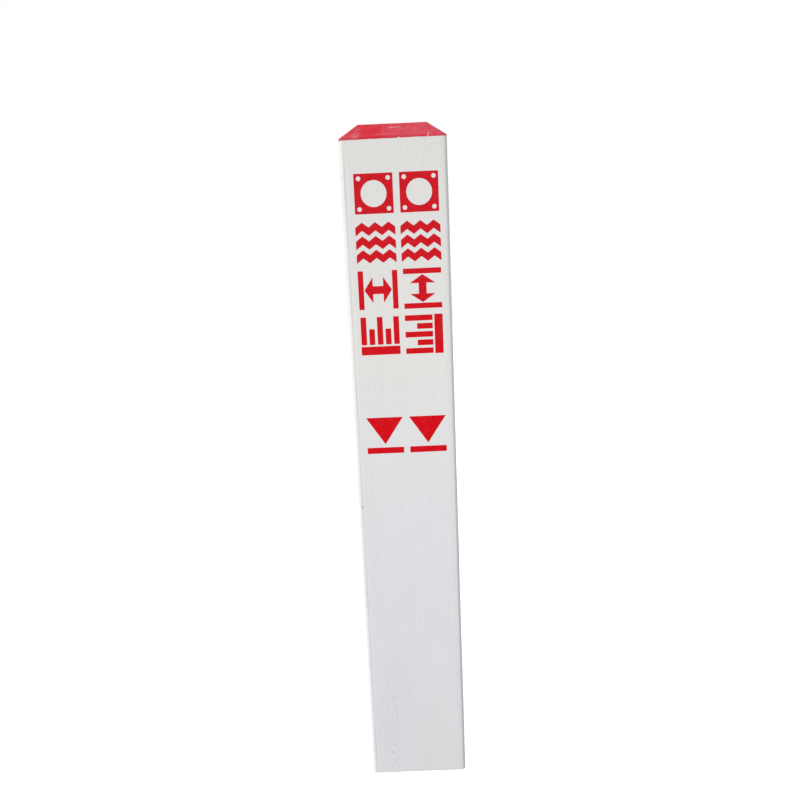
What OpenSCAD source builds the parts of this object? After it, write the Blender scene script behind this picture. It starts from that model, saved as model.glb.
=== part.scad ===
// Utility marker post: one solid casting with a square shaft, a low sloping head and a flat crown.
// Millimetres, +Z up, origin at the middle of the foot. The printed face looks along -Y.

/* [Shaft] */
// Width across opposite sides
post_w = 150; // [80:1:250]
// Overall height, from the foot to the crown
post_h = 1000; // [400:5:1500]
// Radius of the long arrises, the eaves and the crown's edges
edge_r = 4.5; // [1:0.5:10]
// Width of the chamfer round the foot
foot_chamfer = 1.5; // [0.5:0.5:3]

/* [Head] */
// How far each sloping face leans in from the side below it
head_inset = 26; // [15:1:35]
// Height of the sloping faces
head_rise = 25; // [15:1:50]
// How far the red paint runs down below the eaves
paint_drop = 2; // [0.5:0.5:20]

/* [Hidden] */
$fn = 64;

side_x = post_w / 2;
eaves_z = post_h - head_rise;
paint_z = eaves_z - paint_drop;
slope_len = norm([head_inset, head_rise]);
// Centres of the arcs at the eaves and at the crown's edge, on the right of the elevation
eaves_arc = [side_x - edge_r, eaves_z - edge_r * (slope_len - head_rise) / head_inset];
crown_arc = [side_x - head_inset - edge_r * (slope_len - head_inset) / head_rise, post_h - edge_r];
// How far each arc stands past the slope that it meets, so that they cross and leave no sliver
arc_lap = 0.001;
to_slope = [head_rise, head_inset] * (edge_r - arc_lap) / slope_len;

// The section through the shaft, a square with rounded arrises
module plan() {
    square([post_w, post_w - 2 * edge_r], center = true);
    square([post_w - 2 * edge_r, post_w], center = true);
    for (x = [-1, 1], y = [-1, 1])
        translate([x, y] * (side_x - edge_r))
            circle(r = edge_r);
}

// The outline from the side, with the chamfered foot, the rounded eaves, the slopes and the crown
module elevation() {
    right = [
        [side_x - foot_chamfer, 0],
        [side_x, foot_chamfer],
        [side_x, eaves_arc[1]],
        eaves_arc + to_slope,
        crown_arc + to_slope,
        [crown_arc[0], post_h]
    ];
    left = [for (i = [len(right) - 1:-1:0]) [-right[i][0], right[i][1]]];
    polygon(concat(right, left));
    for (s = [-1, 1], c = [eaves_arc, crown_arc])
        translate([s * c[0], c[1]])
            circle(r = edge_r);
}

// The casting between two heights, where the plan and both elevations meet
module casting(z0, z1) {
    intersection() {
        translate([0, 0, z0])
            linear_extrude(z1 - z0)
                plan();
        rotate([90, 0, 0])
            linear_extrude(post_w, center = true)
                elevation();
        rotate([90, 0, 90])
            linear_extrude(post_w, center = true)
                elevation();
    }
}

module post() {
    color("whitesmoke")
        casting(0, paint_z);
    color("crimson")
        casting(paint_z, post_h);
}

post();
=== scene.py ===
import math
import random
from collections import namedtuple

import bmesh
import bpy
import numpy as np
from mathutils import Matrix, Vector


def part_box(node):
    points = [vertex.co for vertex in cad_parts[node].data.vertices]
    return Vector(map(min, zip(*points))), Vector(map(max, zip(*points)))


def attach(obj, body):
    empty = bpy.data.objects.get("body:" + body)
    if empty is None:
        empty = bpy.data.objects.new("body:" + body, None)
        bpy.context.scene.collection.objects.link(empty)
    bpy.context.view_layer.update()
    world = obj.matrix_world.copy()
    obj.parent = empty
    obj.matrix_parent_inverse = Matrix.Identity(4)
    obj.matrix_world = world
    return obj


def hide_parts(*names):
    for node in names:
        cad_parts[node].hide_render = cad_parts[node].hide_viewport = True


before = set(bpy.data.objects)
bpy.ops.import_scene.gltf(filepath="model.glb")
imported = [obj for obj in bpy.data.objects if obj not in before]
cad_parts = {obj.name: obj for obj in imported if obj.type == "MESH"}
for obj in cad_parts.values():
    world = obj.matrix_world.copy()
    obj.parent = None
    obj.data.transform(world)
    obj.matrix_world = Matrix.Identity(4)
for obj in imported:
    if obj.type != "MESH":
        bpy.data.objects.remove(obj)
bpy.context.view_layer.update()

# A cast concrete marker post: white masonry paint, a red painted head and printed red marks.
# Metres, +Z up, origin at the middle of the foot. The printed face looks along -Y.

MM = 0.001

# Size of the post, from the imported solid
low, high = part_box("post")
HALF = (high.x - low.x) / 2
TOP = high.z

# Edges and head. The eaves and the crown have the solid's edge radius. The long arrises are
# a little rounder than the solid's, so they lie inside it.
EDGE_R = 4.5 * MM
ARRIS_R = 5.7 * MM
HIP_R = 2.2 * MM
FOOT_R = 1.8 * MM
HEAD_INSET = 26 * MM
HEAD_RISE = 25 * MM

# How far the section runs in under the foot and over the crown, where a grid takes over
FOOT_REACH = 3 * MM
CROWN_REACH = 4 * MM

# How far the cast faces lie inside the nominal size, and how far they wander
CAST_SKIN = 0.36 * MM
CAST_WAVE = 0.2 * MM
# The waves that they wander in, as (length in metres, share across, share up, phase)
SWELLS = ((0.41, 0.9, 0.3, 1.7), (0.23, 0.2, 1.0, 0.4), (0.15, 0.8, -0.6, 2.9),
          (0.11, 1.0, 0.2, 4.4), (0.09, -0.5, 0.9, 5.6))

# A shallow line in the casting beside the left arris of each face: its distance from the arris,
# half its width, its depth, the darkness of the shade painted along it, and the heights over
# which it swells and fades out
SEAM_PLACE = 1.2 * MM
SEAM_REACH = 1.5 * MM
SEAM_DEPTH = 0.24 * MM
SEAM_SHADE = 0.17
SEAM_SWELL = 23 * MM
SEAM_FADE = 30 * MM
SEAM_TOP = 966 * MM

# How far the red film and the print stand out of the casting, and how thick both are
FILM = 0.12 * MM
PRINT = 0.08 * MM
FILM_DEEP = 0.3 * MM

# The red film's lower edge: its height, wobble and tilt, and the room above it for the wobble
PAINT_LINE = 972.2 * MM
LINE_WOBBLE = 0.16 * MM
LINE_TILT = 0.0037
LINE_ROOM = 0.6 * MM

# Steps of the mesh: round an arc, across a face, beside an arris, up the shaft and up the head
ARC_STEPS = 3
FACE_STEPS = 20
SEAM_STEPS = 6
SEAM_STEP = 0.45 * MM
ROW_STEP = 7 * MM
HEAD_ROW_STEP = 2 * MM

# Finer steps near blemishes: the shortest edge to aim for, also as a share of a blemish's radius
FINEST = 0.5 * MM
FINEST_SHARE = 0.6
REFINE_PASSES = 4

# Points of a mark that lie closer than this become one
WELD = 0.01 * MM

SEED = 41


def rounded_path(corners, radii, steps):
    """A line through the corners, with an arc of the given radius at each inner one."""
    path = [corners[0]]
    for before, corner, after, radius in zip(corners, corners[1:], corners[2:], radii):
        back, on = (before - corner).normalized(), (after - corner).normalized()
        half_angle = back.angle(on) / 2
        centre = corner + (back + on).normalized() * radius / math.sin(half_angle)
        start = corner + back * radius / math.tan(half_angle) - centre
        end = corner + on * radius / math.tan(half_angle) - centre
        path += [centre + start.slerp(end, i / steps) * radius for i in range(steps + 1)]
    return path + [corners[-1]]


def split_long(path):
    """The same line with more points, closer together above the paint's edge."""
    out = [path[0]]
    for a, b in zip(path, path[1:]):
        step = ROW_STEP if b.y <= PAINT_LINE else HEAD_ROW_STEP
        n = max(1, math.ceil((b - a).length / step))
        out += [a.lerp(b, i / n) for i in range(1, n + 1)]
    return out


def half_section():
    """The casting's side as (inset, height), from under the foot to the crown's edge."""
    corners = [
        Vector((FOOT_REACH, 0)),
        Vector((0, 0)),
        Vector((0, TOP - HEAD_RISE)),
        Vector((HEAD_INSET, TOP)),
        Vector((HEAD_INSET + CROWN_REACH, TOP)),
    ]
    return split_long(rounded_path(corners, [FOOT_R, EDGE_R, EDGE_R], 2 * ARC_STEPS))


def plan_radius(inset):
    """Radius of the plan's corners: the arrises on the shaft, tighter hips on the head."""
    return ARRIS_R + (HIP_R - ARRIS_R) * min(1, inset / HEAD_INSET)


def ring(half, radius, flats):
    """Points and normals round a square with round corners, anticlockwise from front left."""
    flat = half - radius
    arc = [math.radians(45) * i / ARC_STEPS for i in range(ARC_STEPS + 1)]
    side = [(-flat, -a) for a in reversed(arc[1:])]
    side += [(flat * t, 0) for t in flats]
    side += [(flat, a) for a in arc[1:-1]]
    points, normals = [], []
    for quarter in range(4):
        turn = Matrix.Rotation(math.radians(90) * quarter, 2)
        for middle, angle in side:
            normal = Vector((math.sin(angle), -math.cos(angle)))
            points.append(turn @ (Vector((middle, -flat)) + normal * radius))
            normals.append(turn @ normal)
    return points, normals


def cap(border):
    """A grid that fills a ring, blended from its four sides; the border keeps its points."""
    n = len(border) // 4
    front, right = border[:n + 1], border[n:2 * n + 1]
    back, left = border[2 * n:3 * n + 1][::-1], (border[3 * n:] + border[:1])[::-1]
    grid = []
    for j in range(n + 1):
        v = j / n
        row = []
        for i in range(n + 1):
            u = i / n
            edges = front[i] * (1 - v) + back[i] * v + left[j] * (1 - u) + right[j] * u
            ends = (front[0] * (1 - u) + front[-1] * u) * (1 - v)
            ends += (back[0] * (1 - u) + back[-1] * u) * v
            row.append(edges - ends)
        grid.append(row)
    return grid


def unevenness(p):
    """How far the mould's faces bow at a point, from -1 to 1."""
    total = 0
    for length, across, up, phase in SWELLS:
        run = across * (p.x + 1.3 * p.y) + up * p.z
        total += math.sin(2 * math.pi * run / length + phase)
    return total / len(SWELLS)


def seam(p):
    """The line beside each face's left arris, from 0 beside it to at most 1 in its middle."""
    across = max((-p.y, p.x), (p.x, p.y), (p.y, -p.x), (-p.x, -p.y))[1]
    off = (across + HALF - ARRIS_R - SEAM_PLACE) / SEAM_REACH
    fade = min(1, max(0, (SEAM_TOP - p.z) / SEAM_FADE))
    return fade * (0.75 + 0.25 * math.sin(p.z / SEAM_SWELL)) * max(0, 1 - off * off) ** 2


def cast_point(p, normal, lift=0):
    """A point of the nominal form moved to the uneven surface, with a lift for a film on it."""
    sunk = CAST_SKIN + CAST_WAVE * unevenness(p) + SEAM_DEPTH * seam(p)
    move = normal * (lift - sunk)
    if normal.z < 0:
        move.z = 0
    return p + move


def section_rings(section, flats, lift=0):
    """Rings of points up the casting, one for each point of the section."""
    rings = []
    for k, here in enumerate(section):
        before, after = section[max(0, k - 1)], section[min(len(section) - 1, k + 1)]
        along = (after - before).normalized()
        row = []
        for point, out in zip(*ring(HALF - here.x, plan_radius(here.x), flats)):
            normal = Vector((out.x * along.y, out.y * along.y, along.x))
            row.append(cast_point(Vector((point.x, point.y, here.y)), normal, lift))
        rings.append(row)
    return rings


def stitch(bm, rows):
    """Faces between neighbouring closed rows of vertices."""
    for lower, upper in zip(rows, rows[1:]):
        for i in range(len(lower)):
            j = (i + 1) % len(lower)
            bm.faces.new((lower[i], lower[j], upper[j], upper[i]))


def fill(bm, border, up):
    """A capping grid of faces inside a ring of vertices, facing up or down."""
    grid = cap([v.co for v in border])
    n = len(border) // 4
    made = [[None] * (n + 1) for _ in range(n + 1)]
    for i in range(n + 1):
        made[0][i] = border[i]
        made[n][i] = border[3 * n - i]
    for j in range(1, n):
        made[j][0] = border[4 * n - j]
        made[j][n] = border[n + j]
        for i in range(1, n):
            made[j][i] = bm.verts.new(grid[j][i])
    for j in range(n):
        for i in range(n):
            quad = (made[j][i], made[j][i + 1], made[j + 1][i + 1], made[j + 1][i])
            bm.faces.new(quad if up else quad[::-1])


def to_object(bm, name, material, smooth=True):
    """A finished object from a bmesh."""
    for face in bm.faces:
        face.smooth = smooth
    mesh = bpy.data.meshes.new(name)
    bm.to_mesh(mesh)
    bm.free()
    made = bpy.data.objects.new(name, mesh)
    bpy.context.scene.collection.objects.link(made)
    mesh.materials.append(material)
    return made


# A dent along a line on the nominal faces, or a lump where its depth is negative
# Its darkness is painted shade in the dent, and bare concrete where a chip goes through the paint
Blemish = namedtuple("Blemish", "start end radius depth dark")


def front(x, z):
    """A point of the front face, or of the slope above it, from its place in mm."""
    inset = max(0, z * MM - TOP + HEAD_RISE) * HEAD_INSET / HEAD_RISE
    return Vector((x * MM, inset - HALF, z * MM))


def line(start, end, radius, depth, dark):
    """A long blemish, with its radius and depth in mm."""
    return Blemish(start, end, radius * MM, depth * MM, dark)


def spot(place, radius, depth, dark):
    """A round blemish."""
    return line(place, place, radius, depth, dark)


# Pits on the printed face as (x, z, radius, darkness), in mm
FRONT_PITS = (
    (-40.9, 37.4, 0.95, 0.8), (-40.2, 35.0, 1.05, 0.75), (-39.5, 33.2, 0.7, 0.5),
    (-37.7, 47.6, 0.95, 0.75), (-37.4, 21.9, 1.0, 0.9), (-43.9, 89.2, 0.85, 0.6),
    (-31.3, 102.2, 0.85, 0.8), (-43.7, 14.9, 0.85, 0.55), (50.8, 943.3, 0.8, 0.45),
    (-65.0, 689.1, 0.8, 0.35), (-31.4, 70.9, 0.85, 0.6), (32.9, 520.4, 0.8, 0.45),
    (-34.9, 51.8, 0.8, 0.35), (-29.1, 624.3, 0.7, 0.35), (-28.8, 630.9, 0.7, 0.4),
    (-30.6, 115.4, 0.8, 0.45), (-33.7, 29.5, 0.8, 0.45), (-30.9, 44.4, 0.8, 0.45),
    (-31.4, 142.9, 0.75, 0.5), (-35.3, 127.4, 0.75, 0.45), (-31.4, 89.6, 0.75, 0.45),
    (-30.6, 334.7, 0.8, 0.45), (-32.7, 354.5, 0.8, 0.4), (-35.2, 372.4, 0.75, 0.35),
    (-34.4, 317.8, 0.75, 0.3), (-44.8, 358.3, 0.75, 0.35), (-31.9, 131.0, 0.75, 0.45),
    (-10.7, 950.5, 0.75, 0.35), (-31.2, 78.6, 0.75, 0.45), (-30.9, 64.8, 0.7, 0.4),
    (-44.6, 122.0, 0.75, 0.4), (-41.8, 139.6, 0.7, 0.35), (-45.9, 20.4, 0.7, 0.4),
)
# Chips beside the left arris, given the same way
ARRIS_CHIPS = ((-68.3, 450.2, 1.3, 1.0), (-68.5, 446.6, 1.0, 0.9), (-68.1, 442.8, 0.8, 0.7))
# Scratches as (x, z, x, z, radius, darkness), and their depth, in mm
SCRATCH_DEPTH = 0.14
SCRATCHES = (
    (-47.2, 434.8, -31.2, 452.2, 0.5, 0.15), (-56.2, 449.3, -49.8, 458.5, 0.5, 0.25),
    (-37.4, 48.2, -28.9, 58.6, 0.5, 0.3), (-34.2, 0.5, -33.9, 11.0, 1.3, 0.1),
    (-39.3, 126.0, -32.6, 137.9, 0.5, 0.3), (-36.9, 128.4, -31.2, 139.5, 0.45, 0.22),
    (-40.9, 149.0, -34.8, 161.0, 0.45, 0.2), (-48.6, 111.0, -43.9, 119.0, 0.45, 0.18),
    (-34.6, 110.4, -30.4, 117.8, 0.45, 0.25), (-41.3, 83.0, -37.2, 90.4, 0.45, 0.16),
    (-46.3, 168.0, -41.1, 178.0, 0.45, 0.14), (-33.5, 88.0, -31.0, 99.5, 0.5, 0.2),
)
# Small lumps of paint as (x, z, radius, height), in mm
LUMPS = ((-36.6, 35.6, 1.7, 0.3), (-35.7, 19.9, 1.3, 0.22), (-39.5, 53.0, 1.2, 0.15),
         (-44.2, 72.0, 1.4, 0.15), (-36.4, 120.0, 1.4, 0.15), (-30.0, 146.0, 1.2, 0.12))
# Specks strewn near the foot: how many, the mean and spread of x, and the lowest, highest and
# likeliest z, in mm
SPECKS, SPECK_X, SPECK_Z = 70, (-37, 6), (6, 230, 60)
# How many pits each other face has, and dings and chips each arris, and crumbs each foot edge
PITS, DINGS, CHIPS, CRUMBS = 18, 22, 3, 9


def front_blemishes(rng):
    """Pits, specks, chips, lumps and scratches that the printed face shows."""
    found = [spot(front(x, z), radius, 0.6 * radius, dark)
             for x, z, radius, dark in FRONT_PITS + ARRIS_CHIPS]
    for _ in range(SPECKS):
        place = front(rng.gauss(*SPECK_X), rng.triangular(*SPECK_Z))
        found.append(spot(place, rng.uniform(0.45, 0.8), 0.3, rng.uniform(0.12, 0.34)))
    found += [spot(front(x, z), radius, -height, 0) for x, z, radius, height in LUMPS]
    for x0, z0, x1, z1, radius, dark in SCRATCHES:
        found.append(line(front(x0, z0), front(x1, z1), radius, SCRATCH_DEPTH, dark))
    return found


def corner_place(rng, low_z, high_z):
    """A place on the front left arris."""
    edge = ARRIS_R * (1 - math.cos(math.radians(45))) - HALF
    return Vector((edge, edge, rng.uniform(low_z, high_z) * MM))


def hidden_blemishes(rng):
    """Pits on the other three faces, dings and chips on the arrises, crumbs off the foot."""
    found = []
    for quarter in range(4):
        turn = Matrix.Rotation(math.radians(90) * quarter, 3, "Z")
        for _ in range(PITS if quarter else 0):
            place = front(rng.uniform(-66, 66), rng.uniform(12, 960))
            size = rng.uniform(0.5, 1.3)
            found.append(spot(turn @ place, size, 0.5 * size, rng.uniform(0.3, 0.9)))
        for _ in range(DINGS):
            place, size = corner_place(rng, 15, 965), rng.uniform(1.3, 2.3)
            found.append(spot(turn @ place, size, 0.14 * size, rng.uniform(0, 0.12)))
        for _ in range(CHIPS):
            place = corner_place(rng, 30, 900)
            found.append(spot(turn @ place, rng.uniform(0.7, 1.2), 0.4, rng.uniform(0.3, 0.7)))
        for _ in range(CRUMBS):
            place = Vector((rng.uniform(-72, 72) * MM, -HALF + 0.4 * MM, 0.4 * MM))
            size = rng.uniform(1.3, 2.3)
            found.append(spot(turn @ place, size, 0.3 * size, rng.uniform(0.05, 0.3)))
    return found


# Keeps the square of a spot's length from being zero
TINY = 1e-12


def distances(places, blemish):
    """Distance of each place from a blemish's middle line."""
    start, end = np.array(blemish.start), np.array(blemish.end)
    span = end - start
    square = max(span @ span, TINY)
    share = np.clip((places - start) @ span / square, 0, 1)
    return np.linalg.norm(places - start - share[:, None] * span, axis=1)


def refine(bm, blemishes):
    """Halves the edges near the blemishes again and again, until they are fine enough."""
    for _ in range(REFINE_PASSES):
        bm.edges.index_update()
        bm.faces.ensure_lookup_table()
        middles = np.array([f.calc_center_median() for f in bm.faces])
        longest = np.array([max(e.calc_length() for e in f.edges) for f in bm.faces])
        coarse = np.zeros(len(middles), bool)
        for blemish in blemishes:
            near = distances(middles, blemish) < 1.1 * blemish.radius + 0.5 * longest
            coarse |= near & (longest > max(FINEST, FINEST_SHARE * blemish.radius))
        edges = {e for i in np.flatnonzero(coarse) for e in bm.faces[i].edges
                 if e.calc_length() > FINEST}
        edges = sorted(edges, key=lambda e: e.index)
        bmesh.ops.subdivide_edges(bm, edges=edges, cuts=1, use_grid_fill=True)
    split_wide(bm)


def split_wide(bm):
    """Splits the faces with more than four corners into well-shaped triangles."""
    wide = [f for f in bm.faces if len(f.verts) > 4]
    bmesh.ops.triangulate(bm, faces=wide, ngon_method="BEAUTY")


# How many parts of a blemish's outline have a reach of their own
RAGGED_PARTS = 8


def ragged_part(offset):
    """Which part of a blemish's outline a point lies towards, from its offset in the face."""
    bearing = math.atan2(offset[2], offset[0] + offset[1])
    return int((bearing + math.pi) / (2 * math.pi) * (RAGGED_PARTS - 0.001))


def sink(bm, blemishes, rng):
    """Presses the blemishes in, lifts those of negative depth, and records each vertex's wear and
    painted shade.
    """
    wear_and_shade = bm.verts.layers.float.new("wear_and_shade")
    bm.normal_update()
    bm.verts.ensure_lookup_table()
    places = np.array([v.co for v in bm.verts])
    depth = np.zeros(len(places))
    dark = np.array([SEAM_SHADE * seam(v.co) for v in bm.verts])
    for blemish in blemishes:
        ragged = [rng.uniform(0.8, 1.25) for _ in range(RAGGED_PARTS)]
        away = distances(places, blemish)
        for i in np.flatnonzero(away < 2 * blemish.radius):
            offset = places[i] - np.array(blemish.start)
            reach = blemish.radius * ragged[ragged_part(offset)]
            share = max(0, 1 - (away[i] / reach) ** 2)
            if abs(blemish.depth * share) > abs(depth[i]):
                depth[i] = blemish.depth * share
            dark[i] = max(dark[i], blemish.dark * min(1, 1.6 * share))
    for vertex, d, w in zip(bm.verts, depth, dark):
        if d:
            vertex.co -= vertex.normal * d
            vertex.co.z = max(0, vertex.co.z)
        vertex[wear_and_shade] = w


def even_places(steps):
    """Evenly spaced places along a face, from -1 to 1."""
    return [-1 + 2 * i / steps for i in range(steps + 1)]


def seam_places():
    """Finely spaced places beside the left arris, where the shallow line runs."""
    return [-1 + i * SEAM_STEP / (HALF - ARRIS_R) for i in range(SEAM_STEPS + 1)]


def post_body(material):
    """The casting: shaft, eaves, sloping head and crown, with its pits and chips."""
    rng = random.Random(SEED)
    flats = seam_places() + even_places(FACE_STEPS)[1:]
    bm = bmesh.new()
    rows = [[bm.verts.new(p) for p in r] for r in section_rings(half_section(), flats)]
    stitch(bm, rows)
    fill(bm, rows[0], up=False)
    fill(bm, rows[-1], up=True)
    blemishes = front_blemishes(rng) + hidden_blemishes(rng)
    refine(bm, blemishes)
    sink(bm, blemishes, rng)
    return to_object(bm, "post_body", material)


# Nicks in the red film's edge are wedges with rippled sides. Each starts a share of its height
# below its foot, and lies within the room behind the front face.
NICK_RIPPLE, NICK_RIPPLE_RATE = 0.15, 5.1
NICK_BELOW, NICK_TAPER, NICK_ROOM = 0.3, 0.7, 20
# As (x, z, width, height, lean), in mm
NICKS = ((47.9, 971.8, 1.5, 7.6, 1.1), (8.1, 971.8, 2.8, 2.0, 0.3), (-31.1, 971.6, 2.2, 1.6, 0.0),
         (-13.4, 971.7, 1.6, 1.2, 0.0), (27.1, 971.8, 1.5, 1.2, 0.0))


def line_height(x, y):
    """Height of the red paint's lower edge round the post."""
    run = x + 1.7 * y
    wave = math.sin(run / (9.1 * MM)) + 0.6 * math.sin(run / (3.7 * MM) + 2)
    return PAINT_LINE + LINE_WOBBLE * wave / 1.6 + LINE_TILT * x


def head_section():
    """The part of the casting's side that is painted red."""
    above = [p for p in half_section() if p.y > PAINT_LINE + LINE_ROOM]
    return [Vector((0, PAINT_LINE))] + above


def in_nick(place, nick):
    """Whether a place, in mm, lies in a nick on the front."""
    foot_x, foot_z, width, height, lean = nick
    up = (place.z - foot_z) / height
    if place.y >= NICK_ROOM - HALF / MM or not -NICK_BELOW < up < 1:
        return False
    ripple = NICK_RIPPLE * math.sin(NICK_RIPPLE_RATE * place.z)
    return abs(place.x - foot_x - lean * up - ripple) < width / 2 * (1 - max(0, up)) ** NICK_TAPER


def cut_nicks(bm):
    """Takes out the faces of the film where the paint is missing, and any pinched point."""
    refine(bm, [line(front(x, z), front(x + lean, z + height), width, 0, 0)
                for x, z, width, height, lean in NICKS])
    gone = []
    for face in bm.faces:
        middle = face.calc_center_median() / MM
        if any(in_nick(middle, nick) for nick in NICKS):
            gone.append(face)
    bmesh.ops.delete(bm, geom=gone, context="FACES")
    pinched = [v for v in bm.verts if sum(e.is_boundary for e in v.link_edges) > 2]
    bmesh.ops.delete(bm, geom=pinched, context="VERTS")


def thicken(bm, depth):
    """Closes a sheet into a thin solid, with an inner side and a rim."""
    bm.normal_update()
    sheet, rim = bm.faces[:], [e.link_loops[0] for e in bm.edges if e.is_boundary]
    rim = [(loop.link_loop_next.vert, loop.vert) for loop in rim]
    inner = {v: bm.verts.new(v.co - v.normal * depth) for v in bm.verts[:]}
    for face in sheet:
        bm.faces.new([inner[v] for v in reversed(face.verts)])
    for a, b in rim:
        bm.faces.new((a, b, inner[b], inner[a]))


def head_paint(material):
    """The red film over the head, down to its wavering edge below the eaves."""
    rings = section_rings(head_section(), even_places(2 * FACE_STEPS), FILM)
    for p in rings[0]:
        p.z = line_height(p.x, p.y)
    bm = bmesh.new()
    rows = [[bm.verts.new(p) for p in r] for r in rings]
    stitch(bm, rows)
    fill(bm, rows[-1], up=True)
    cut_nicks(bm)
    thicken(bm, FILM_DEEP)
    return to_object(bm, "head_paint", material)


# Printed marks, each drawn in its own box about the middle (0, 0), in millimetres
BOX = 56
# Half the height of most marks, which leaves a little room in the box
RISE = 27
# Width of the strips that a mark is cut into, so that it can follow the uneven face
MARK_STEP = 7


def rect(x0, z0, x1, z1):
    """A rectangle's outline."""
    return [(x0, z0), (x1, z0), (x1, z1), (x0, z1)]


def circle(x, z, radius, points=40):
    """A circle's outline."""
    turns = [2 * math.pi * i / points for i in range(points)]
    return [(x + radius * math.cos(a), z + radius * math.sin(a)) for a in turns]


def turned(shapes):
    """The same shapes, turned a quarter."""
    return [[(-z, x) for x, z in shape] for shape in shapes]


def plate_mark():
    """A square plate with a round window and four small holes."""
    window_r, hole_r, place = 18, 3.2, 20.5
    holes = [circle(x, z, hole_r, 20) for x in (-place, place) for z in (-place, place)]
    return [rect(-RISE, -RISE, RISE, RISE), circle(0, 0, window_r)] + holes


def zigzag_mark():
    """Three zigzag bands, one above the other."""
    teeth, rise, thick, pitch = 3, 7, 11.4, 18.8
    shapes = []
    for middle in (-pitch, 0, pitch):
        xs = [BOX * (i / (2 * teeth) - 0.5) for i in range(2 * teeth + 1)]
        crest = [(x, middle + (rise if i % 2 else -rise) / 2) for i, x in enumerate(xs)]
        upper = [(x, z + thick / 2) for x, z in crest]
        lower = [(x, z - thick / 2) for x, z in crest]
        shapes.append(lower + upper[::-1])
    return shapes


def arrow_mark():
    """A double-headed arrow between two end bars, lying flat."""
    end, bar, head, wing, stem, gap = BOX / 2, 7.5, 12, 18, 5.5, 1
    tip = end - bar - gap
    arrow = [(-tip, 0), (-tip + head, -wing), (-tip + head, -stem), (tip - head, -stem),
             (tip - head, -wing), (tip, 0), (tip - head, wing), (tip - head, stem),
             (-tip + head, stem), (-tip + head, wing)]
    return [arrow, rect(-end, -RISE, bar - end, RISE), rect(end - bar, -RISE, end, RISE)]


def ruler_mark():
    """A scale bar with long and short ticks."""
    end, bar_top, tick_foot, half_tick, pitch, short = BOX / 2, -15, -12.5, 4, 11.75, 10
    shapes = [rect(-end, -RISE, end, bar_top)]
    for i in range(-2, 3):
        x = pitch * i
        shapes.append(rect(x - half_tick, tick_foot, x + half_tick, short if i % 2 else RISE))
    return shapes


def level_mark():
    """A level sign: a triangle standing on its point above a bar."""
    point, bar_top = -13, -18
    return [[(-RISE, RISE), (RISE, RISE), (0, point)], rect(-RISE, -RISE, RISE, bar_top)]


# Middles of the two columns and of the five rows, and what each row shows
COLUMNS = {"left": -29.7, "right": 33.5}
ROWS = ((900.5, plate_mark, plate_mark), (834.4, zigzag_mark, zigzag_mark),
        (769.0, arrow_mark, lambda: turned(arrow_mark())),
        (704.2, ruler_mark, lambda: turned(ruler_mark())), (557.9, level_mark, level_mark))


def softened(shape, radius=0.7):
    """The outline with each corner cut by a small arc."""
    points = [Vector(p) for p in shape]
    out = []
    for before, corner, after in zip(points[-1:] + points, points, points[1:] + points[:1]):
        reach = min(radius, (before - corner).length / 3, (after - corner).length / 3)
        start = corner + (before - corner).normalized() * reach
        end = corner + (after - corner).normalized() * reach
        out += [start, (start + end + 2 * corner) / 4, end]
    return out


def drawn_film(name, shapes, x, z):
    """A flat film with the shapes' outlines as a bmesh, with (x, z) as its middle."""
    curve = bpy.data.curves.new(name, "CURVE")
    curve.dimensions = "2D"
    curve.fill_mode = "BOTH"
    curve.extrude = FILM_DEEP / 2
    for shape in shapes:
        outline = softened(shape)
        spline = curve.splines.new("POLY")
        spline.points.add(len(outline) - 1)
        for point, (px, pz) in zip(spline.points, outline):
            point.co = ((px + x) * MM, (pz + z) * MM, 0, 1)
        spline.use_cyclic_u = True
    drawn = bpy.data.objects.new(name, curve)
    mesh = bpy.data.meshes.new_from_object(drawn)
    bpy.data.objects.remove(drawn)
    bm = bmesh.new()
    bm.from_mesh(mesh)
    bpy.data.meshes.remove(mesh)
    bmesh.ops.remove_doubles(bm, verts=bm.verts[:], dist=WELD)
    return bm


def cut_up(bm, x, z):
    """Cuts a mark's film into small squares about its middle."""
    for k in range(-BOX // 2, BOX // 2 + 1, MARK_STEP):
        for normal, middle in ((Vector((1, 0, 0)), x), (Vector((0, 1, 0)), z)):
            bmesh.ops.bisect_plane(bm, geom=bm.verts[:] + bm.edges[:] + bm.faces[:], dist=WELD,
                                   plane_co=normal * (middle + k) * MM, plane_no=normal)
    bmesh.ops.dissolve_degenerate(bm, dist=WELD, edges=bm.edges[:])
    split_wide(bm)


def print_mark(name, shapes, x, z, material):
    """A printed mark as a thin film that follows the cast face."""
    bm = drawn_film(name, shapes, x, z)
    cut_up(bm, x, z)
    for vertex in bm.verts:
        across, up, depth = vertex.co
        lift = PRINT if depth > 0 else PRINT - FILM_DEEP
        vertex.co = cast_point(Vector((across, -HALF, up)), Vector((0, -1, 0)), lift)
    bmesh.ops.recalc_face_normals(bm, faces=bm.faces[:])
    return to_object(bm, name, material, smooth=False)


def marks(material):
    """Both columns of printed marks."""
    made = []
    for number, (z, left, right) in enumerate(ROWS, 1):
        for side, draw in (("left", left), ("right", right)):
            made.append(print_mark(f"mark_{number}_{side}", draw(), COLUMNS[side], z, material))
    return made


# Linear colours of the masonry paint. The last two are painted shade, and the last is also bare
# concrete in chips
WARM_WHITE = (0.792, 0.784, 0.760)
COOL_WHITE = (0.752, 0.757, 0.786)
SOFT_WHITE = (0.778, 0.780, 0.780)
LILAC_WHITE = (0.765, 0.745, 0.795)
STREAK_GREY = (0.62, 0.62, 0.625)
SHADE_GREY = (0.55, 0.55, 0.55)
BARE_CONCRETE_AND_SHADE = (0.22, 0.205, 0.185)

# Linear colours of the head's paint, which is darker along its lower edge and round the eaves
DEEP_RED = (0.80, 0.006, 0.028)
CHALKY_AND_SHEEN_RED = (0.80, 0.098, 0.142)
THIN_RED = (0.84, 0.42, 0.48)
LOW_EDGE_RED = (0.60, 0.030, 0.055)
# Heights in metres between which the darker lower edge fades into the rest
LOW_EDGE_TOP = (0.9742, 0.9775)

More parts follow.
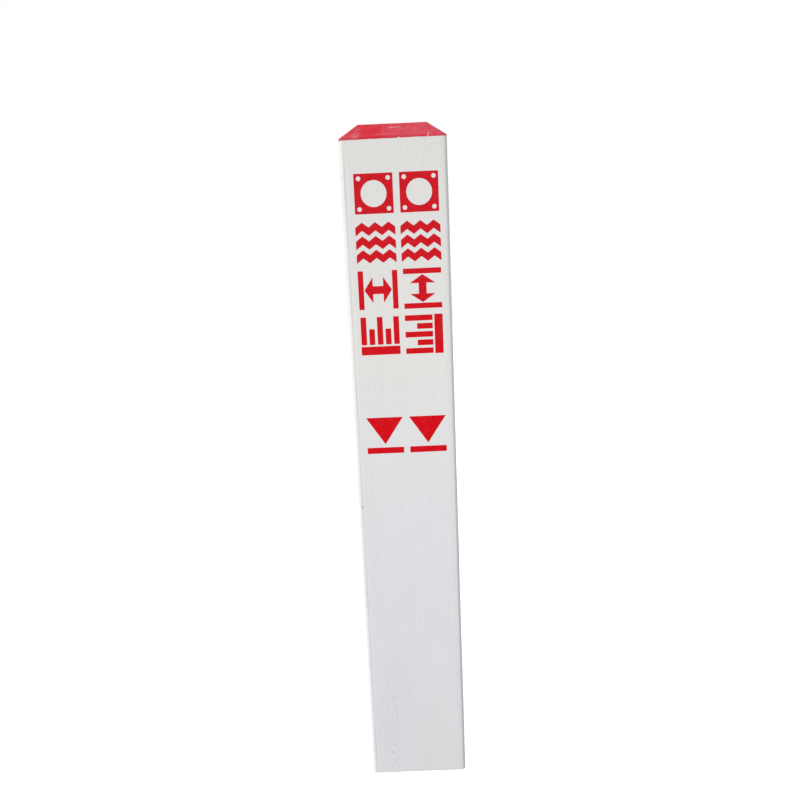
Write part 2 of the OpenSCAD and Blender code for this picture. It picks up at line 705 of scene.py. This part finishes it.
# Linear colours of the print
PRINT_RED = (0.69, 0.002, 0.0065)
DUSTY_RED = (0.65, 0.013, 0.023)
DARK_RED = (0.53, 0.002, 0.007)

# Where the masonry paint is rougher on the printed face, with deeper stipple and more painted
# shade in it, as ((centre, reach), how much). Centres and reaches are in metres.
ROUGH_PLACES = (
    (((-0.040, -0.075, 0.130), (0.040, 0.050, 0.160)), 0.6),
    (((-0.034, -0.075, 0.315), (0.044, 0.050, 0.110)), 0.5),
    (((-0.068, -0.075, 0.430), (0.024, 0.050, 0.260)), 0.25),
    (((0.045, -0.075, 0.945), (0.050, 0.050, 0.045)), 0.45),
    (((-0.020, -0.075, 0.950), (0.060, 0.050, 0.030)), 0.25),
    (((-0.030, -0.075, 0.620), (0.060, 0.050, 0.060)), 0.5),
    (((0.026, -0.075, 0.266), (0.026, 0.050, 0.045)), 0.3),
)

# Where the front slope's paint is more chalky, or less where negative, given the same way. The
# first, widest place, towards the right, is partly chalky paint and dust and partly a painted
# sheen
CHALKY_AND_SHEEN_PLACES = (
    (((0.034, -0.066, 0.984), (0.072, 0.060, 0.050)), 0.6),
    (((-0.060, -0.075, 0.9735), (0.019, 0.014, 0.009)), 0.85),
    (((-0.0315, -0.0640, 0.9858), (0.024, 0.030, 0.0105)), -0.9),
    (((-0.0260, -0.0764, 0.9742), (0.026, 0.014, 0.0060)), -0.5),
    (((0.0690, -0.0745, 0.9755), (0.010, 0.014, 0.0050)), 0.4),
)
# Where that paint is worn thin, given the same way
THIN_PLACES = (
    (((-0.0016, -0.0590, 0.9910), (0.0048, 0.012, 0.0020)), 0.85),
    (((0.0005, -0.0585, 0.9915), (0.0150, 0.012, 0.0015)), 0.5),
    (((0.0060, -0.0575, 0.9926), (0.0060, 0.012, 0.0008)), 0.5),
    (((-0.0510, -0.0700, 0.9795), (0.0110, 0.014, 0.0090)), 0.22),
    (((-0.0515, -0.0725, 0.9772), (0.0045, 0.010, 0.0045)), 0.25),
    (((-0.0482, -0.0600, 0.9900), (0.0065, 0.010, 0.0013)), 0.5),
)


class Nodes:
    """Short calls for building one material's node tree."""

    def __init__(self, name):
        self.material = bpy.data.materials.new(name)
        self.material.use_nodes = True
        self.tree = self.material.node_tree
        self.shader = self.tree.nodes["Principled BSDF"]
        self.place = self.add("ShaderNodeTexCoord").outputs["Object"]

    def add(self, kind, **settings):
        """A new node with the given settings."""
        node = self.tree.nodes.new(kind)
        for key, value in settings.items():
            setattr(node, key, value)
        return node

    def link(self, source, socket):
        """Feeds a socket from another socket, or sets it to a value."""
        if isinstance(source, bpy.types.NodeSocket):
            self.tree.links.new(source, socket)
        else:
            socket.default_value = source

    def scaled(self, scale, source=None, location=(0, 0, 0)):
        """The place, stretched by a scale for each axis."""
        node = self.add("ShaderNodeMapping")
        self.link(source or self.place, node.inputs["Vector"])
        node.inputs["Scale"].default_value = scale
        node.inputs["Location"].default_value = location
        return node.outputs["Vector"]

    def leaning(self, angle):
        """The place, leaning over by an angle in the front view."""
        node = self.add("ShaderNodeMapping")
        self.link(self.place, node.inputs["Vector"])
        node.inputs["Rotation"].default_value = (0, angle, 0)
        return node.outputs["Vector"]

    def height(self):
        """Height above the foot, in metres."""
        node = self.add("ShaderNodeSeparateXYZ")
        self.link(self.place, node.inputs[0])
        return node.outputs["Z"]

    def noise(self, scale, detail=2, rough=0.5, source=None):
        """Noise from 0 to 1, with about as many grains to a metre as its scale on each axis."""
        node = self.add("ShaderNodeTexNoise")
        self.link(self.scaled(scale, source), node.inputs["Vector"])
        node.inputs["Scale"].default_value = 1
        node.inputs["Detail"].default_value = detail
        node.inputs["Roughness"].default_value = rough
        return node.outputs["Fac"]

    def ramp(self, value, low_in, high_in, low_out=0.0, high_out=1.0):
        """A smooth step from one value to another while the input goes from low to high."""
        node = self.add("ShaderNodeMapRange", interpolation_type="SMOOTHSTEP")
        self.link(value, node.inputs["Value"])
        for key, number in zip(("From Min", "From Max", "To Min", "To Max"),
                               (low_in, high_in, low_out, high_out)):
            node.inputs[key].default_value = number
        return node.outputs["Result"]

    def maths(self, operation, a, b):
        """One sum or product."""
        node = self.add("ShaderNodeMath", operation=operation)
        self.link(a, node.inputs[0])
        self.link(b, node.inputs[1])
        return node.outputs["Value"]

    def mix(self, factor, a, b):
        """Blends two colours."""
        node = self.add("ShaderNodeMix", data_type="RGBA")
        self.link(factor, node.inputs[0])
        self.link((*a, 1) if isinstance(a, tuple) else a, node.inputs[6])
        self.link((*b, 1) if isinstance(b, tuple) else b, node.inputs[7])
        return node.outputs[2]

    def blob(self, centre, reach):
        """1 at a centre, falling to 0 at a reach for each axis, all in metres."""
        scale = tuple(1 / r for r in reach)
        shift = tuple(-c / r for c, r in zip(centre, reach))
        node = self.add("ShaderNodeTexGradient", gradient_type="SPHERICAL")
        self.link(self.scaled(scale, location=shift), node.inputs["Vector"])
        return node.outputs["Fac"]

    def bump(self, height, distance, under=None):
        """A relief of the given depth, on top of another one."""
        node = self.add("ShaderNodeBump")
        self.link(height, node.inputs["Height"])
        node.inputs["Distance"].default_value = distance
        if under is not None:
            self.link(under, node.inputs["Normal"])
        return node.outputs["Normal"]

    def finish(self, colour, roughness, specular, normal):
        """Feeds the shader and hands the material back."""
        self.link(colour, self.shader.inputs["Base Color"])
        self.link(roughness, self.shader.inputs["Roughness"])
        self.shader.inputs["Specular IOR Level"].default_value = specular
        self.link(normal, self.shader.inputs["Normal"])
        return self.material


def white_paint():
    """White masonry paint over stippled concrete, dragged up and down by the brush."""
    n = Nodes("white_paint")
    cloud = n.noise((7, 7, 4), detail=3)
    patch = n.noise((17, 17, 12), detail=2)
    tint = n.noise((24, 24, 15), detail=2)
    streak = n.noise((300, 300, 7), detail=3, rough=0.55)
    slant = n.leaning(math.radians(-40))
    stipple = n.noise((400, 400, 185), detail=3, rough=0.65, source=slant)
    fleck = n.noise((520, 520, 300), detail=2, source=n.leaning(math.radians(25)))
    grain = n.noise((1100, 1100, 800), detail=2)

    warm_up = n.ramp(n.height(), 0.40, 0.70)
    tone = n.mix(warm_up, COOL_WHITE, WARM_WHITE)
    tone = n.mix(n.maths("MULTIPLY", n.ramp(cloud, 0.3, 0.7), 0.35), tone, SOFT_WHITE)
    lilac = n.maths("MULTIPLY", n.ramp(tint, 0.5, 0.7), n.ramp(n.height(), 0.1, 0.5, 0.4, 0))
    tone = n.mix(lilac, tone, LILAC_WHITE)
    tone = n.mix(n.maths("MULTIPLY", n.ramp(streak, 0.45, 0.75), 0.1), tone, STREAK_GREY)
    strong = n.ramp(patch, 0.36, 0.64, 0.26, 0.66)
    for place, much in ROUGH_PLACES:
        strong = n.maths("ADD", strong, n.ramp(n.blob(*place), 0, 0.7, 0, much))
    # Painted shade of the stipple's relief and of its fine flecks, stronger where the paint is
    # rougher
    stipple_shade = n.maths("MULTIPLY", n.ramp(stipple, 0.54, 0.70), strong)
    tone = n.mix(n.maths("MULTIPLY", stipple_shade, 0.13), tone, SHADE_GREY)
    point = n.maths("MULTIPLY", n.ramp(fleck, 0.62, 0.72), strong)
    tone = n.mix(n.maths("MULTIPLY", point, 0.24), tone, SHADE_GREY)
    wear_and_shade = n.add("ShaderNodeAttribute", attribute_name="wear_and_shade").outputs["Fac"]
    # Painted shade in pits, scratches and the seam line, and bare concrete in chips
    tone = n.mix(wear_and_shade, tone, BARE_CONCRETE_AND_SHADE)

    rough = n.ramp(stipple, 0.3, 0.7, 0.66, 0.8)
    normal = n.bump(n.maths("MULTIPLY", stipple, strong), 0.78 * MM)
    normal = n.bump(streak, 0.06 * MM, under=normal)
    normal = n.bump(grain, 0.05 * MM, under=normal)
    return n.finish(tone, rough, 0.3, normal)


def red_head_paint():
    """Red gloss paint on the head, brushed on along the eaves, thin and chalky in places, with a
    painted sheen.
    """
    n = Nodes("red_head_paint")
    stroke = n.noise((50, 50, 480), detail=4, rough=0.6)
    patch = n.noise((60, 60, 110), detail=3)
    slant = n.leaning(math.radians(-50))
    scuff = n.noise((230, 230, 110), detail=3, rough=0.6, source=slant)
    grain = n.noise((700, 700, 900), detail=3)

    chalky_and_sheen = n.ramp(patch, 0.3, 0.75, -0.25, 0.35)
    chalky_and_sheen = n.maths("ADD", chalky_and_sheen, n.ramp(stroke, 0.3, 0.7, -0.3, 0.3))
    chalky_and_sheen = n.maths("ADD", chalky_and_sheen, n.ramp(scuff, 0.3, 0.7, -0.4, 0.4))
    # Chalky patches, and towards the front slope's right a lightening that is partly a painted
    # sheen
    for place, much in CHALKY_AND_SHEEN_PLACES:
        chalky_and_sheen = n.maths("ADD", chalky_and_sheen, n.ramp(n.blob(*place), 0.0, 0.7, 0, much))
    tone = n.mix(n.ramp(chalky_and_sheen, -0.6, 1.3), DEEP_RED, CHALKY_AND_SHEEN_RED)
    # The paint is darker along its lower edge and round the eaves
    tone = n.mix(n.ramp(n.height(), *LOW_EDGE_TOP, 0.55, 0), tone, LOW_EDGE_RED)
    for place, much in THIN_PLACES:
        broken = n.ramp(grain, 0.35, 0.6, 0.25, 1)
        thin = n.maths("MULTIPLY", n.ramp(n.blob(*place), 0.05, 0.6), broken)
        tone = n.mix(n.maths("MULTIPLY", thin, much), tone, THIN_RED)
    rough = n.ramp(stroke, 0.3, 0.8, 0.36, 0.52)
    normal = n.bump(stroke, 0.16 * MM)
    normal = n.bump(scuff, 0.12 * MM, under=normal)
    normal = n.bump(grain, 0.05 * MM, under=normal)
    return n.finish(tone, rough, 0.36, normal)


def red_print():
    """Flat red print, a little uneven, and dusty towards the head."""
    n = Nodes("red_print")
    cloud = n.noise((95, 95, 95), detail=4, rough=0.65)
    grain = n.noise((420, 420, 300), detail=3)
    tone = n.mix(n.ramp(n.height(), 0.60, 0.92), PRINT_RED, DUSTY_RED)
    tone = n.mix(n.maths("MULTIPLY", n.ramp(cloud, 0.42, 0.62), 0.6), tone, DUSTY_RED)
    tone = n.mix(n.maths("MULTIPLY", n.ramp(grain, 0.48, 0.66), 0.55), tone, DARK_RED)
    rough = n.ramp(cloud, 0.3, 0.7, 0.6, 0.75)
    normal = n.bump(grain, 0.08 * MM)
    return n.finish(tone, rough, 0.06, normal)


# A sheet that glows almost as brightly as the background, a hair under the foot
FLOOR_HALF = 40.0
FLOOR_DROP = 0.2 * MM
FLOOR_GLOW = 0.66


def floor_material():
    """A bright sheet under the post, which shows only soft shade round the foot."""
    n = Nodes("floor_sheet")
    cloud = n.noise((2, 2, 2), detail=2)
    tone = n.mix(cloud, (0.8, 0.8, 0.8), (0.82, 0.82, 0.82))
    n.link(tone, n.shader.inputs["Base Color"])
    n.shader.inputs["Roughness"].default_value = 0.9
    n.shader.inputs["Emission Color"].default_value = (1, 1, 1, 1)
    n.shader.inputs["Emission Strength"].default_value = FLOOR_GLOW
    return n.material


def floor():
    """A wide floor, a hair under the foot."""
    mesh = bpy.data.meshes.new("floor")
    outline = rect(-FLOOR_HALF, -FLOOR_HALF, FLOOR_HALF, FLOOR_HALF)
    mesh.from_pydata([(x, y, -FLOOR_DROP) for x, y in outline], [], [(0, 1, 2, 3)])
    made = bpy.data.objects.new("floor", mesh)
    bpy.context.scene.collection.objects.link(made)
    mesh.materials.append(floor_material())
    made.visible_diffuse = False
    made.visible_glossy = False


# The photograph's view: lens and sensor in mm, place in metres, and yaw, pitch down and roll
LENS, SENSOR = 25.13, 36
CAMERA_PLACE = (-0.0004, -0.8823, 0.7295)
CAMERA_ANGLES = (0.3685, 8.421, 2.5115)


def camera():
    """A close view from a little below the head, looking down and tilted."""
    lens = bpy.data.cameras.new("camera")
    lens.lens, lens.sensor_width, lens.sensor_fit = LENS, SENSOR, "HORIZONTAL"
    made = bpy.data.objects.new("camera", lens)
    yaw, pitch, roll = (math.radians(a) for a in CAMERA_ANGLES)
    turn = Matrix.Rotation(yaw, 4, "Z") @ Matrix.Rotation(math.pi / 2 - pitch, 4, "X")
    turn = turn @ Matrix.Rotation(-roll, 4, "Z")
    made.matrix_world = Matrix.Translation(CAMERA_PLACE) @ turn
    bpy.context.scene.collection.objects.link(made)
    bpy.context.scene.camera = made


# Strengths are those of a white sheet that faces the light: all round, and of the front lamp
ROUND_LIGHT, FRONT_LIGHT = 0.43, 0.25
FRONT_PLACE, FRONT_SIZE = (0.10, -1.3, 0.54), 0.6
# Distant lights as (name, strength, bearing from the front to the left, rise, spread), in degrees
SUNS = (("side_light", 0.71, 62.5, 18, 30), ("back_light", 0.36, 207, 14, 40))


def add_light(name, kind, place, aim, energy):
    """A light that points from its place to its aim."""
    data = bpy.data.lights.new(name, kind)
    data.energy = energy
    made = bpy.data.objects.new(name, data)
    made.location = place
    made.rotation_euler = (Vector(aim) - Vector(place)).to_track_quat("-Z", "Y").to_euler()
    bpy.context.scene.collection.objects.link(made)
    return data


def lights():
    """Low soft lights from the left and from behind, and a lamp in front."""
    for name, strength, *angles in SUNS:
        bearing, rise, spread = (math.radians(a) for a in angles)
        flat = math.cos(rise)
        place = (-math.sin(bearing) * flat, -math.cos(bearing) * flat, math.sin(rise))
        add_light(name, "SUN", place, (0, 0, 0), strength * math.pi).angle = spread
    aim = Vector((0, -HALF, FRONT_PLACE[2]))
    power = FRONT_LIGHT * math.pi ** 2 * (Vector(FRONT_PLACE) - aim).length_squared
    lamp = add_light("front_light", "AREA", FRONT_PLACE, aim, power)
    lamp.shape, lamp.size = "DISK", FRONT_SIZE


def surroundings():
    """Even light from all round, before a background that the camera sees as white."""
    world = bpy.data.worlds.new("studio")
    bpy.context.scene.world = world
    world.use_nodes = True
    nodes, links = world.node_tree.nodes, world.node_tree.links
    nodes.clear()
    around, behind = (nodes.new("ShaderNodeBackground") for _ in range(2))
    around.inputs["Color"].default_value = behind.inputs["Color"].default_value = (1, 1, 1, 1)
    around.inputs["Strength"].default_value = ROUND_LIGHT
    pick = nodes.new("ShaderNodeMixShader")
    path = nodes.new("ShaderNodeLightPath")
    out = nodes.new("ShaderNodeOutputWorld")
    links.new(path.outputs["Is Camera Ray"], pick.inputs["Fac"])
    links.new(around.outputs[0], pick.inputs[1])
    links.new(behind.outputs[0], pick.inputs[2])
    links.new(pick.outputs[0], out.inputs["Surface"])
    bpy.context.scene.view_settings.view_transform = "Standard"


camera()
lights()
surroundings()
floor()

body = post_body(white_paint())
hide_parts("post")
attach(body, "root")
head = head_paint(red_head_paint())
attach(head, "root")
for mark in marks(red_print()):
    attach(mark, "root")
